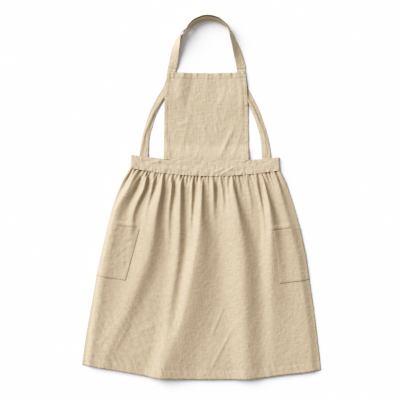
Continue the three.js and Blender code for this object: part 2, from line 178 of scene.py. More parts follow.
RIGHT_STRAP_WRINKLES = [(0.5, 0, 6, 16, 52), (0.35, 0, 3, 7, 54)]

# How far each side of the skirt has spread from the seam's width to the hem's, on the way down
SKIRT_DOWN = [0, 0.06, 0.15, 0.22, 0.28, 0.42, 0.55, 0.68, 0.82, 0.92, 1]
SKIRT_LEFT = [0, 0.152, 0.304, 0.395, 0.45, 0.582, 0.7, 0.792, 0.896, 0.958, 1]
SKIRT_RIGHT = [0, 0.153, 0.305, 0.4, 0.478, 0.62, 0.715, 0.818, 0.903, 0.96, 1]

# The skirt's length across the front, as a share of its length in the middle
DROP_ACROSS = [0, 0.12, 0.22, 0.32, 0.5, 0.65, 0.74, 0.83, 0.93, 1]
DROP_SHARE = [0.968, 0.976, 0.987, 0.999, 1, 1, 0.999, 0.99, 0.987, 0.982]

# The tables of folds and valleys give their rows at levels from the seam to the hem, closest near the
# seam: the level is the share of the way down to this power. Folds start low and grow over a length.
FOLD_STEPS = 5
LEVEL_POWER = 0.6
FOLD_START = 0.35
FOLD_GROWS = 34

# Folds of the skirt at six levels: where each ridge runs across the panel, its height, and the width of
# its left and of its right slope, in millimetres
SKIRT_FOLDS = [
    ((0.02, 0.055, 0.02, 0.005, 0.02, 0.03), (5, 9, 9, 8, 5, 2),
     (13, 18, 26, 26, 26, 20), (16, 40, 45, 70, 60, 40)),
    ((0.095, 0.14, 0.12, 0.14, 0.14, 0.17), (7, 10, 6, 0, 0, 0),
     (12, 16, 23, 23, 23, 23), (10, 13, 16, 16, 16, 16)),
    ((0.155, 0.185, 0.185, 0.19, 0.21, 0.24), (5, 7, 2, 0, 0, 0),
     (12, 13, 16, 16, 16, 16), (10, 10, 13, 13, 13, 13)),
    ((0.215, 0.24, 0.24, 0.225, 0.165, 0.085), (9, 14, 17, 14, 8, 3),
     (13, 23, 60, 80, 65, 45), (10, 16, 35, 60, 55, 50)),
    ((0.265, 0.3, 0.31, 0.33, 0.35, 0.37), (6, 8, 4, 0, 0, 0),
     (12, 13, 16, 16, 16, 16), (10, 13, 16, 16, 16, 16)),
    ((0.33, 0.355, 0.37, 0.37, 0.35, 0.32), (9, 12, 13, 10, 8, 4),
     (13, 20, 33, 42, 45, 50), (12, 15, 25, 33, 36, 50)),
    ((0.41, 0.425, 0.43, 0.43, 0.44, 0.455), (6, 8, 4, 0, 0, 0),
     (10, 13, 16, 16, 16, 16), (10, 12, 13, 13, 13, 13)),
    ((0.475, 0.485, 0.48, 0.455, 0.415, 0.34), (9, 14, 20, 21, 18, 13),
     (13, 23, 36, 50, 60, 80), (10, 18, 50, 110, 130, 130)),
    ((0.545, 0.555, 0.555, 0.56, 0.565, 0.57), (7, 9, 2, 0, 0, 0),
     (12, 16, 23, 23, 23, 23), (12, 13, 20, 20, 20, 20)),
    ((0.6, 0.61, 0.605, 0.6, 0.6, 0.605), (6, 6, 0, 0, 0, 0),
     (10, 13, 13, 13, 13, 13), (10, 13, 13, 13, 13, 13)),
    ((0.645, 0.64, 0.64, 0.635, 0.63, 0.63), (5, 3, 0, 0, 0, 0),
     (10, 10, 10, 10, 10, 10), (8, 10, 10, 10, 10, 10)),
    ((0.685, 0.68, 0.69, 0.695, 0.69, 0.69), (9, 14, 20, 20, 17, 11),
     (12, 30, 90, 95, 90, 70), (10, 15, 40, 75, 80, 80)),
    ((0.775, 0.77, 0.76, 0.745, 0.73, 0.725), (6, 5, 0, 0, 0, 0),
     (12, 13, 13, 13, 13, 13), (12, 13, 13, 13, 13, 13)),
    ((0.835, 0.825, 0.82, 0.795, 0.775, 0.765), (6, 7, 4, 0, 0, 0),
     (16, 16, 16, 16, 16, 16), (10, 10, 10, 10, 10, 10)),
    ((0.88, 0.87, 0.86, 0.83, 0.815, 0.8), (8, 13, 18, 14, 6, 1),
     (10, 12, 35, 50, 50, 45), (10, 15, 33, 65, 75, 65)),
    ((0.96, 0.95, 0.945, 0.955, 0.965, 0.96), (5, 6, 4, 2, 1, 0),
     (13, 23, 40, 46, 46, 46), (10, 13, 20, 23, 23, 23)),
]

# Valleys too start low and grow. The foot of one is this many half widths away, and spreads with the
# share of its length that is passed; after a first share at full depth it fades out.
VALLEY_START = 0.15
VALLEY_SHARE = 0.85
VALLEY_GROWS = 38
VALLEY_FOOT = 2.2
VALLEY_SPREAD = 1.6
VALLEY_HOLDS = 0.15

# Narrow valleys between the gathers: where each runs across the panel at the first three levels, its
# depth and its half width at the seam, and how far down it reaches, in millimetres
GATHER_VALLEYS = [
    (0.02, 0.02, 0, 6, 3.5, 130),
    (0.075, 0.1, 0.08, 9, 5, 180),
    (0.12, 0.155, 0.14, 8, 4, 160),
    (0.185, 0.2, 0.195, 6, 3.5, 105),
    (0.23, 0.255, 0.275, 6, 3.5, 165),
    (0.29, 0.32, 0.325, 8, 4, 145),
    (0.355, 0.375, 0.395, 7, 3.5, 170),
    (0.38, 0.4, 0.415, 4, 3, 40),
    (0.425, 0.44, 0.435, 7, 3.5, 120),
    (0.45, 0.46, 0.465, 3, 2.5, 35),
    (0.49, 0.495, 0.505, 9, 4.5, 195),
    (0.525, 0.525, 0.525, 5, 2.5, 45),
    (0.575, 0.575, 0.57, 8, 4, 140),
    (0.615, 0.615, 0.615, 7, 3.5, 85),
    (0.655, 0.645, 0.635, 5, 2.5, 50),
    (0.695, 0.69, 0.715, 9, 4, 165),
    (0.72, 0.715, 0.725, 4, 2.5, 45),
    (0.74, 0.735, 0.74, 7, 3.5, 90),
    (0.79, 0.775, 0.78, 7, 3.5, 90),
    (0.855, 0.835, 0.83, 6, 3.5, 125),
    (0.89, 0.875, 0.89, 9, 4.5, 180),
    (0.925, 0.905, 0.9, 4, 3, 50),
    (0.98, 0.965, 0.965, 4, 3.5, 85),
]

# Creases of the skirt: both ends across and down, height in millimetres and half width
SKIRT_CREASES = [
    (0.605, 0.61, 0.535, 0.80, 1.4, 4.5),
    (0.640, 0.73, 0.530, 0.97, 1.6, 4.5),
    (0.120, 0.77, 0.055, 0.90, 0.8, 5.0),
    (0.185, 0.74, 0.130, 0.90, 1.0, 6.0),
    (0.330, 0.72, 0.200, 0.80, 0.7, 6.0),
    (0.300, 0.84, 0.190, 0.92, 0.7, 6.0),
]

# How far each side of the bib has spread from the waist's width to the top's, on the way down
BIB_DOWN = [0, 0.16, 0.32, 0.55, 0.78, 1]
BIB_LEFT = [1, 0.6, 0.25, 0.12, 0.05, 0]
BIB_RIGHT = [1, 0.5, 0.28, 0.05, 0, 0]

# Soft swells and creases of the bib, in the same columns as the skirt's
BIB_CREASES = [
    (0.18, -0.02, 0.17, 0.34, 2.6, 14.0),
    (0.35, -0.02, 0.25, 0.45, -1.8, 12.0),
    (0.52, 0.00, 0.50, 0.30, 1.4, 14.0),
    (0.80, -0.02, 0.74, 0.25, -1.8, 13.0),
    (0.92, 0.00, 0.93, 0.50, 1.8, 7.0),
    (0.78, 0.10, 0.60, 0.45, 0.9, 7.0),
    (0.82, 0.62, 0.64, 0.98, 2.4, 8.0),
    (0.93, 0.62, 0.80, 0.98, 1.2, 6.0),
    (0.04, 0.72, 0.06, 0.98, 1.6, 6.0),
    (0.16, 0.62, 0.28, 0.55, 1.2, 8.0),
    (0.46, 0.55, 0.50, 0.75, 1.1, 6.0),
    (0.60, 0.52, 0.64, 0.70, 0.9, 4.0),
    (0.30, 0.45, 0.20, 0.90, 1.0, 9.0),
    (0.45, 0.78, 0.36, 0.98, 0.9, 5.0),
]

# Creases of the waistband's front, across and down the band
BAND_CREASES = [
    (0.120, 0.42, 0.215, 0.10, 1.8, 5.0),
    (0.560, 0.75, 0.640, 0.45, 1.4, 4.0),
    (0.600, 0.92, 0.700, 0.40, 1.4, 4.0),
    (0.300, 0.70, 0.420, 0.55, 0.5, 6.0),
    (0.930, 0.15, 0.990, 0.60, 0.6, 5.0),
]

# How the lower runs of the straps curl, from the neck to the waistband: where the ridge lies from the
# strap's left edge to its right, and its height, on the run at the picture's left and at its right
STRAP_CURL = [
    (0.9, 0.0, 0.15, 2.5),
    (0.8, 2.5, 0.15, 5.0),
    (0.7, 4.0, 0.2, 5.5),
    (0.6, 4.2, 0.25, 5.0),
    (0.4, 3.6, 0.35, 3.5),
    (0.2, 2.4, 0.5, 2.5),
    (0.1, 0.0, 0.5, 0.0),
]

# Where the bib rests: across its half width it climbs from the table onto a strap, and down its height
# it leaves the strap, reaches the table, and leaves that for the waistband
REST_MIDDLE = 0.2
REST_STRAP_EDGE = 0.62
REST_STRAP_FOOT = 0.3
REST_SURFACE = 0.55
REST_LEAVES = 0.8
REST_ON_BAND = 0.98

# The neck loop, from the left leg over the top to the right leg, in shares of its half width and its
# height: x, y, lean in degrees, how far the straps lie apart, the left strap's side, and crossing
NECK_LOOP = [
    (-1, 0, 0, 0.04, 1, 0),
    (-0.948, 0.174, 10, 0.04, 1, 0),
    (-0.908, 0.335, 22, 0.04, 1, 0),
    (-0.85, 0.492, 42, 0.04, 1, 0),
    (-0.776, 0.634, 64, 0.05, 1, 0.1),
    (-0.7, 0.715, 84, 0.06, 1, 0.95),
    (-0.632, 0.766, 90, 0.06, 0, 1),
    (-0.56, 0.812, 95, 0.06, -1, 0.95),
    (-0.47, 0.865, 103, 0.08, -1, 0.1),
    (-0.35, 0.932, 104, 0.1, -1, 0),
    (-0.2, 0.977, 106, 0.12, -1, 0),
    (-0.022, 1.005, 107, 0.12, -1, 0),
    (0.157, 1.001, 106, 0.11, -1, 0),
    (0.342, 0.966, 102, 0.09, -1, 0),
    (0.492, 0.905, 98, 0.06, -1, 0),
    (0.61, 0.838, 90, 0.06, -1, 0),
    (0.684, 0.75, 77, 0.06, -1, 0),
    (0.757, 0.605, 58, 0.06, -1, 0),
    (0.842, 0.448, 38, 0.06, -1, 0),
    (0.914, 0.283, 16, 0.06, -1, 0),
    (0.975, 0.137, 5, 0.05, -1, 0),
    (1, 0, 0, 0.04, -1, 0),
]

# The runs from the loop's foot to the waistband: how far out on the left and on the right, how far
# down, how many straps each lies on, and its width on the left and on the right where it is curled
STRAP_RUN = [
    (0.05, 0.03, 0.09, 0, 1, 1),
    (0.18, 0.1, 0.2, 0, 0.94, 0.94),
    (0.42, 0.31, 0.32, 0, 0.85, 0.87),
    (0.67, 0.545, 0.47, 0, 0.82, 0.85),
    (0.86, 0.735, 0.64, 0, 0.81, 0.86),
    (0.98, 0.87, 0.8, 0.3, 0.86, 0.92),
    (1.05, 0.94, 1, 1.55, 1, 1),
]


def mix(a, b, share):
    """The straight blend from a to b."""
    return a + (b - a) * share


def smooth_step(low, high, value):
    """Rises from 0 at low to 1 at high along a cubic with level ends."""
    share = np.clip((value - low) / (high - low), 0, 1)
    return share * share * (3 - 2 * share)


def through(values, share):
    """A cubic through evenly spaced values, with each inner slope half the step past its neighbours."""
    values = np.asarray(values, float)
    last = len(values) - 1
    at = np.clip(np.asarray(share, float), 0, 1) * last
    i = np.clip(np.floor(at).astype(int), 0, last - 1)
    t = at - i
    a, b, c, d = (values[np.clip(i + k, 0, last)] for k in (-1, 0, 1, 2))
    slope_in, slope_out = (c - a) / 2, (d - b) / 2
    cubic = (2 * b - 2 * c + slope_in + slope_out) * t ** 3
    square = (3 * c - 3 * b - 2 * slope_in - slope_out) * t ** 2
    return cubic + square + slope_in * t + b


def mottle(x, y, size_x, size_y, pattern):
    """Smooth noise from -1 to 1: random values on a lattice of the given cell, blended cubically. The
    last number picks the pattern, so that no two places share one."""
    lattice = np.random.default_rng(pattern).uniform(-1, 1, (128, 128))
    across, along = np.broadcast_arrays(x / size_x, y / size_y)
    column, row = np.floor(across).astype(int), np.floor(along).astype(int)
    right, up = across - column, along - row
    right, up = right * right * (3 - 2 * right), up * up * (3 - 2 * up)
    corner = [[lattice[(row + j) % 128, (column + i) % 128] for i in (0, 1)] for j in (0, 1)]
    low = mix(corner[0][0], corner[0][1], right)
    return mix(low, mix(corner[1][0], corner[1][1], right), up)


def creases(table, across, down, width, length):
    """Each crease is a bell across its own line, which fades at both ends; columns as in the tables."""
    total = 0
    for x0, y0, x1, y1, height, half_width in table:
        run_x, run_y = (x1 - x0) * width, (y1 - y0) * length
        reach = np.hypot(run_x, run_y)
        from_x, from_y = (across - x0) * width, (down - y0) * length
        along = (from_x * run_x + from_y * run_y) / reach ** 2
        beside = (from_x * run_y - from_y * run_x) / reach
        fade = smooth_step(-0.1, 0.3, along) * (1 - smooth_step(0.7, 1.1, along))
        total = total + height * fade * np.exp(-(beside / half_width) ** 2)
    return total


def wrinkles(table, x, y):
    """The table's random patterns added up, each one's columns leaning by its slant."""
    total = 0
    for height, slant, size_x, size_y, pattern in table:
        total = total + height * mottle(x + slant * y, y, size_x, size_y, pattern)
    return total


def groove(beside, depth, half_width):
    """A groove with the cross-section of a bell."""
    return -depth * np.exp(-(beside / half_width) ** 2)


def grid_of(x, y, z):
    """The points of a grid from its three coordinates."""
    return np.stack(np.broadcast_arrays(x, y, z), axis=-1)


def normals_of(points):
    """Unit normals of a grid of points, from the cross product of its two directions."""
    along = np.gradient(points, axis=0)
    across = np.gradient(points, axis=1)
    normal = np.cross(along, across)
    return normal / np.maximum(np.linalg.norm(normal, axis=-1, keepdims=True), 1e-9)


# The waist
def bow(across, depth):
    """The waist's edges sag as a parabola and slant a little to the right."""
    t = 2 * across - 1
    return depth * t * t - WAIST_SLANT * (across - 0.5)


def waist_seam(across):
    """Height of the band's lower edge."""
    return bow(across, WAIST_BOW)


def waist_top(across):
    """Height of the band's upper edge."""
    return WAIST_HEIGHT + bow(across, WAIST_TOP_BOW)


def wrap(around, left, right, base, rise, back_width):
    """A loop laid flat, in five stretches of one unit of around each: from the left back end to the left
    side fold, a half circle, the front, a half circle, and to the right back end."""
    radius = rise / 2
    turn = np.clip(np.where(around < 2.5, around - 1, 4 - around), 0, 1)
    back = np.clip(np.where(around < 2.5, around, 5 - around), 0, 1)
    out = mix(back_width, radius, back) - radius * np.sin(np.pi * turn)
    height = radius * (1 - np.cos(np.pi * turn))
    front = np.clip(around - 2, 0, 1)
    x = np.where(around < 2.5, left + out, right - out)
    on_front = (around >= 2) & (around <= 3)
    x = np.where(on_front, mix(left + radius, right - radius, front), x)
    height = np.where(on_front, rise, height)
    return x, base + height, on_front


def skirt_sides(down):
    """The two side folds' places, spread from the seam to the hem by the tables."""
    left = mix(-WAIST_WIDTH / 2, -HEM_SHIFT - HEM_WIDTH / 2, np.interp(down, SKIRT_DOWN, SKIRT_LEFT))
    right = mix(WAIST_WIDTH / 2, -HEM_SHIFT + HEM_WIDTH / 2, np.interp(down, SKIRT_DOWN, SKIRT_RIGHT))
    return left, right


def side_height(down):
    """Height of the side folds: the waistband's at the seam, then lower."""
    return mix(BAND_RISE, SIDE_RISE, smooth_step(0, SIDE_SETTLES, down))


def fold_ridges(across, level, width):
    """Ridges by the table, each (1 - t)^3 (1 + 3t) of its height, where t runs from 0 on its line to 1 at
    the foot of its slope: steepest near the top, and running out softly."""
    total = 0
    for at, high, left_slope, right_slope in SKIRT_FOLDS:
        beside = (across - through(at, level)) * width
        slope = np.where(beside < 0, through(left_slope, level), through(right_slope, level))
        t = np.clip(np.abs(beside) / slope, 0, 1)
        total = total + np.maximum(through(high, level), 0) * (1 - t) ** 3 * (1 + 3 * t)
    return total


def gather_valleys(across, level, width, from_seam):
    """Valleys by the table, each a notch with (1 - t)^2 of its depth at the share t of its width, which
    widens and fades on its way down."""
    total = 0
    for first, second, third, depth, half_width, length in GATHER_VALLEYS:
        at = through((first, second, third), level * FOLD_STEPS / 2)
        passed = from_seam / length
        foot = VALLEY_FOOT * half_width * (1 + VALLEY_SPREAD * passed)
        t = np.clip(np.abs(across - at) * width / foot, 0, 1)
        total = total - depth * (1 - smooth_step(VALLEY_HOLDS, 1, passed)) * (1 - t) ** 2
    return total


def seam_tucks(across, from_seam):
    """Small tucks at the waist seam: a row of bell-shaped grooves, uneven in place and depth, which
    fade exponentially on their way down."""
    along_seam = across * WAIST_WIDTH
    count = along_seam / TUCK_SPACING + TUCK_STRAY * mottle(along_seam, from_seam, 14, 60, 7)
    beside = np.abs(count - np.round(count)) * TUCK_SPACING
    depth = TUCK_DEPTH * (1 + TUCK_UNEVENNESS * mottle(along_seam, from_seam, 12, 90, 8))
    return groove(beside, depth, TUCK_HALF_WIDTH) * np.exp(-from_seam / TUCK_LENGTH)


def hem_relief(x, y, to_hem):
    """The turned-up hem lies half a millimetre higher, with a groove along its stitches and slanting
    puckers, and it droops a little."""
    turned_up = HEM_STEP * (1 - smooth_step(HEM_TURN - 1, HEM_TURN + 1, to_hem))
    near = np.exp(-((to_hem - HEM_TURN / 2) / HEM_TURN) ** 2)
    droop = HEM_DROOP * (1 - smooth_step(0, HEM_DROOP_LENGTH, to_hem))
    puckers = near * wrinkles(SKIRT_HEM_PUCKERS, x, y)
    return turned_up + puckers + groove(to_hem - HEM_TURN, *SKIRT_HEM_GROOVE) - droop


def skirt_relief(across, down, width):
    """Folds, gathers, tucks, creases, wrinkles and the hem, added up. Folds and gathers start low at the
    seam and grow below it, and the lower left is more wrinkled."""
    level = down ** LEVEL_POWER
    from_seam = down * SKIRT_LENGTH
    x, y = (across - 0.5) * width, from_seam
    folds = fold_ridges(across, level, width)
    folds = folds * mix(FOLD_START, 1, smooth_step(0, FOLD_GROWS, from_seam))
    gathers = gather_valleys(across, level, width, from_seam)
    gathers = gathers * mix(VALLEY_START, VALLEY_SHARE, smooth_step(0, VALLEY_GROWS, from_seam))
    low_left = smooth_step(0.5, 0.75, down) * (1 - smooth_step(0.25, 0.45, across))
    crumple = wrinkles(SKIRT_WRINKLES, x, y) + low_left * wrinkles(LOW_LEFT_WRINKLES, x, y)
    crease = creases(SKIRT_CREASES, across, down, width, SKIRT_LENGTH)
    hem = hem_relief(x, y, SKIRT_LENGTH - from_seam)
    return folds + gathers + seam_tucks(across, from_seam) + crease + crumple + hem


def mouth_swell(to_side, down):
    """Above each pocket the skirt swells along the mouth, dropping sharply at its edge and softly
    upwards; the swell fades out near the side fold and at the pocket's front edge."""
    above = (POCKET_DROP - down * SKIRT_LENGTH) / MOUTH_SWELL_LENGTH
    swell = smooth_step(0.02, 0.3, above) * (1 - smooth_step(0.35, 1, above))
    from_fold = smooth_step(20, 40, to_side)
    from_front = 1 - smooth_step(POCKET_FRONT - 14, POCKET_FRONT + 4, to_side)
    return MOUTH_SWELL * swell * from_fold * from_front


def skirt_surface(around, down):
    """The skirt's outer face: the flat loop at each level, with the front's relief added to its height."""
    left, right = skirt_sides(down)
    rise = mix(BAND_RISE, HEM_RISE, down)
    side_rise = side_height(down)
    top_share = POCKET_DROP / SKIRT_LENGTH
    foot_share = (POCKET_DROP + POCKET_HEIGHT) / SKIRT_LENGTH
    ramp = POCKET_LIFT_LENGTH / SKIRT_LENGTH
    lifted = smooth_step(top_share - ramp, top_share, down)
    lifted = lifted - smooth_step(foot_share, foot_share + ramp, down)
    back_width = mix(BAND_RETURN, BACK_HEM_WIDTH, down)
    x, z, on_front = wrap(around, left, right, POCKET_LIFT * lifted, side_rise, back_width)
    across = np.clip((x - left) / (right - left), 0, 1)
    to_side = np.minimum(across, 1 - across) * (right - left)
    rounding = smooth_step(0, SIDE_ROUNDING, to_side) * on_front
    slope = on_front * (rise - side_rise) * smooth_step(0, SIDE_SLOPE, to_side)
    z = z + slope + rounding * (skirt_relief(across, down, right - left) + mouth_swell(to_side, down))
    length = SKIRT_LENGTH * np.interp(across, DROP_ACROSS, DROP_SHARE)
    y = waist_seam(across) - SEAM_GAP - length * down
    return grid_of(x, y, z)


def band_relief(x, y, across, down):
    """Edges that roll in beside a seam's groove, creases, wrinkles, and puckers beside both edges."""
    to_edge = np.minimum(down, 1 - down) * WAIST_HEIGHT
    roll = -BAND_ROLL * (1 - smooth_step(0, 2, to_edge)) + groove(to_edge - BAND_SEAM, *BAND_GROOVE)
    swell = creases(BAND_CREASES, across, down, WAIST_WIDTH, WAIST_HEIGHT)
    slanting = smooth_step(0, 8, to_edge) * wrinkles(BAND_SLANTING_WRINKLES, x, y)
    foot = smooth_step(0.55, 1, down) * wrinkles(BAND_FOOT_PUCKERS, x, y)
    top = (1 - smooth_step(0, 0.35, down)) * wrinkles(BAND_TOP_PUCKERS, x, y)
    return roll + swell + wrinkles(BAND_WRINKLES, x, y) + slanting + foot + top


def band_surface(around, down):
    """The waistband's outer face: the same loop, narrower at its top, with the front's relief added to
    its height."""
    half = WAIST_WIDTH / 2
    x, z, on_front = wrap(around, -half, half, 0.0, BAND_RISE, BAND_RETURN)
    across = np.clip(x / WAIST_WIDTH + 0.5, 0, 1)
    y = mix(waist_top(across), waist_seam(across), down)
    x = x * mix(WAIST_TOP_WIDTH, WAIST_WIDTH, down) / WAIST_WIDTH
    z = z + on_front * band_relief(x, y, across, down)
    return grid_of(x, y, z)


def bib_lift(across, down):
    """How high the bib lies: on the straps near its top corners, on the table in its middle, and up on
    the waistband at its foot, blended smoothly, with a little air under it."""
    to_corner = np.abs(2 * across - 1)
    on_straps = 2 * STRAP_LAYER + 2 * SEAM_GAP
    off_straps = smooth_step(REST_STRAP_FOOT, REST_SURFACE, down)
    lift = on_straps * smooth_step(REST_MIDDLE, REST_STRAP_EDGE, to_corner) * (1 - off_straps)
    lift = lift + (BAND_RISE - BIB_WALL - BAND_CLEARANCE) * smooth_step(REST_LEAVES, REST_ON_BAND, down)
    air = (BIB_AIR + BIB_MIDDLE_AIR * np.sin(np.pi * across)) * (1 - smooth_step(0.85, 1, down))
    return BIB_WALL + air + lift


def bib_relief(x, y, across, down):
    """Swells, wrinkles, hems that lie half a millimetre higher with a groove along their stitches, and
    puckers that fade away from the top and the sides like a bell."""
    to_top = down * BIB_HEIGHT
    to_side = np.minimum(across, 1 - across) * BIB_WAIST_WIDTH
    swell = creases(BIB_CREASES, across, down, BIB_WAIST_WIDTH, BIB_HEIGHT)
    top_hem = 1 - smooth_step(BIB_TOP_HEM - 1, BIB_TOP_HEM + 1, to_top)
    side_hem = 1 - smooth_step(BIB_SIDE_HEM - 1, BIB_SIDE_HEM + 1, to_side)
    hems = HEM_STEP * np.maximum(top_hem, side_hem)
    grooves = groove(to_top - BIB_TOP_HEM, *BIB_TOP_GROOVE)
    grooves = grooves + groove(to_side - BIB_SIDE_HEM, *BIB_SIDE_GROOVE)
    pucker = np.exp(-(to_top / BIB_TOP_GATHER) ** 2) * wrinkles(BIB_TOP_PUCKERS, x, y)
    pucker = pucker + np.exp(-(to_side / BIB_SIDE_HEM) ** 2) * wrinkles(BIB_SIDE_PUCKERS, x, y)
    return swell + wrinkles(BIB_WRINKLES, x, y) + hems + grooves + pucker


def bib_surface(across, down):
    """The bib's outer face: a panel between its two sides, whose top sags by half a sine wave and
    ripples, at its resting height with its relief added."""
    half_left = mix(BIB_WAIST_WIDTH, BIB_TOP_WIDTH, np.interp(down, BIB_DOWN, BIB_LEFT)) / 2
    half_right = mix(BIB_WAIST_WIDTH, BIB_TOP_WIDTH, np.interp(down, BIB_DOWN, BIB_RIGHT)) / 2
    x = BIB_SHIFT + mix(-half_left, half_right, across)
    foot = waist_top(x / WAIST_TOP_WIDTH + 0.5) - BIB_TUCK
    top = WAIST_HEIGHT + BIB_HEIGHT - BIB_SAG * np.sin(np.pi * across)
    y = mix(top + wrinkles(BIB_TOP_RIPPLE, x, 0 * x), foot, down)
    z = bib_lift(across, down) + bib_relief(x, y, across, down)
    return grid_of(x, y, z)


def pocket_path(around, level, front, on_left):
    """Where the pocket lies on the skirt's loop: from its back edge (0) round the side fold (1 to 2) to
    its front edge (3)."""
    left, right = skirt_sides(level)
    radius = side_height(level) / 2
    back_width = mix(BAND_RETURN, BACK_HEM_WIDTH, level)
    back_reach = mix(POCKET_WIDTH - front, radius, np.clip(around, 0, 1))
    back_zone = (back_width - back_reach) / (back_width - radius)
    front_reach = mix(radius, front, np.clip(around - 2, 0, 1))
    front_zone = 2 + (front_reach - radius) / (right - left - 2 * radius)
    zone = np.where(around < 1, back_zone, np.where(around > 2, front_zone, around))
    return zone if on_left else 5 - zone


def pocket_relief(x, y, around, down, on_left):
    """The mouth stands off, most in its middle and fading exponentially downwards; grooves follow the
    edge's stitches and the hem, and wrinkles lie inside them."""
    from_mouth = down * POCKET_HEIGHT
    inside = np.sin(np.pi * np.clip((around - 2), 0, 1))
    mouth = MOUTH_OPENS * np.exp(-from_mouth / MOUTH_LENGTH) * inside
    to_edge = np.minimum((3 - around) * (POCKET_FRONT - 5), (1 - down) * POCKET_HEIGHT)
    edge = groove(to_edge - SEAM_INSET, *POCKET_EDGE_GROOVE)
    hem_line = groove(from_mouth - POCKET_HEM, *POCKET_HEM_GROOVE)
    crumple = POCKET_FULLNESS + wrinkles(LEFT_POCKET_WRINKLES if on_left else RIGHT_POCKET_WRINKLES, x, y)
    return POCKET_EASE + mouth + edge + hem_line + crumple * smooth_step(0, 8, to_edge)


def pocket_surface(around, down, on_left):
    """The pocket's outer face: the skirt's face raised along its normal by the pocket's cloth and, on
    the front, by the pocket's relief."""
    level = (POCKET_DROP + POCKET_HEIGHT * down) / SKIRT_LENGTH
    front = POCKET_FRONT + (LEFT_MOUTH_TURN if on_left else -RIGHT_MOUTH_TURN) * (1 - down)
    points = skirt_surface(pocket_path(around, level, front, on_left), level)
    normal = normals_of(points) * (1 if on_left else -1)
    relief = pocket_relief(points[..., 0], points[..., 1], around, down, on_left)
    raised = SEAM_GAP + POCKET_WALL + smooth_step(1.9, 2.2, around) * relief
    return points + normal * raised[..., None]


# The straps
BIB_TOP = WAIST_HEIGHT + BIB_HEIGHT


def loop_stations(is_left):
    """Stations of the neck loop: x, y, z, lean, offset along the strap's normal, and width. The strap
    stands on its lower edge, and where the two cross, each is narrowed and one climbs on the other."""
    x, y, lean, apart, side, cross = np.array(NECK_LOOP, float).T
    lean = np.radians(lean)
    away = np.maximum(apart * STRAP_WIDTH, STRAP_LAYER / 2) * side * (1 if is_left else -1)
    narrowed = STRAP_WIDTH * CROSSING_WIDTH_SHARE
    crossing = 1.5 * narrowed + STRAP_LAYER if is_left else 0.5 * narrowed
    spare = np.abs(np.cos(lean)) * (np.abs(away) + STRAP_LAYER / 2)
    height = mix(np.sin(lean) * STRAP_WIDTH / 2, crossing, cross) + spare
    under = np.where(away < 0, UNDER_WIDTH_SHARE, 1)
    width = STRAP_WIDTH * under * mix(1, CROSSING_WIDTH_SHARE, cross)
    x, y = NECK_SHIFT + x * NECK_WIDTH / 2, BIB_TOP + y * NECK_HEIGHT
    return np.stack([x, y, height, lean, away, width], axis=1)


def flat_station(x, y, layers, width=STRAP_WIDTH):
    """A station where the strap lies flat on a number of others."""
    return [x, y, (layers + 0.5) * STRAP_LAYER, 0, 0, width]


def run_stations(sign):
    """Stations from the loop's foot down to the strap's end inside the waistband."""
    foot = NECK_SHIFT + sign * NECK_WIDTH / 2
    fall = BIB_HEIGHT - WAIST_TOP_BOW
    side = 0 if sign < 0 else 1
    run = [flat_station(foot + sign * row[side] * RUN_SPREAD, BIB_TOP - row[2] * fall, row[3],
                        STRAP_WIDTH * row[4 + side]) for row in STRAP_RUN]
    end = flat_station(run[-1][0] + sign, run[-1][1] - STRAP_TUCK, STRAP_END_HEIGHT / STRAP_LAYER)
    return np.array(run + [end])


def strap_stations(is_left):
    """All stations of a strap, from its sewn end to its waistband end or the other way round."""
    sign = -1 if is_left else 1
    sewn = np.array([flat_station(NECK_SHIFT + sign * NECK_WIDTH / 2, BIB_TOP - SEWN_LENGTH, SEWN_LAYERS)])
    run = run_stations(-sign)
    parts = [sewn, loop_stations(is_left), run] if is_left else [run[::-1], loop_stations(is_left), sewn]
    return np.concatenate(parts)


def stations_passed(along, is_left):
    """How many stations lie between the strap's sewn end and a place along it."""
    last = len(NECK_LOOP) + len(STRAP_RUN) + 1
    return along * last if is_left else (1 - along) * last


def strap_curl(across, along, is_left):
    """On its lower run a strap rises evenly from its left edge to a ridge and drops sharply to its right
    along a cubic."""
    ridge_left, high_left, ridge_right, high_right = np.array(STRAP_CURL, float).T
    run = (stations_passed(along, is_left) - len(NECK_LOOP)) / len(STRAP_RUN)
    ridge = through(ridge_right if is_left else ridge_left, run)
    high = through(high_right if is_left else high_left, run) * (run > 0)
    beside = (1 - across if is_left else across) - ridge
    rising = 1 + CURL_SLOPE * beside / np.maximum(ridge, 0.15)
    return high * np.where(beside < 0, np.maximum(rising, 0), 1 - smooth_step(0, CURL_DROP, beside))


def strap_relief(across, along, is_left):
    """Edges that roll in beside a seam's groove, wrinkles, the curl, and a crease across the strap at
    the loop's foot."""
    to_edge = (0.5 - np.abs(across - 0.5)) * STRAP_WIDTH
    edge = -STRAP_ROLL * (1 - smooth_step(0, 1.2, to_edge)) + groove(to_edge - SEAM_INSET, *STRAP_GROOVE)
    table = LEFT_STRAP_WRINKLES if is_left else RIGHT_STRAP_WRINKLES
    crumple = wrinkles(table, across * STRAP_WIDTH, along * STRAP_LENGTH)
    crease = groove(stations_passed(along, is_left) - FOOT_CREASE_STATION, *FOOT_CREASE)
    return edge + crumple + crease + strap_curl(across, along, is_left)


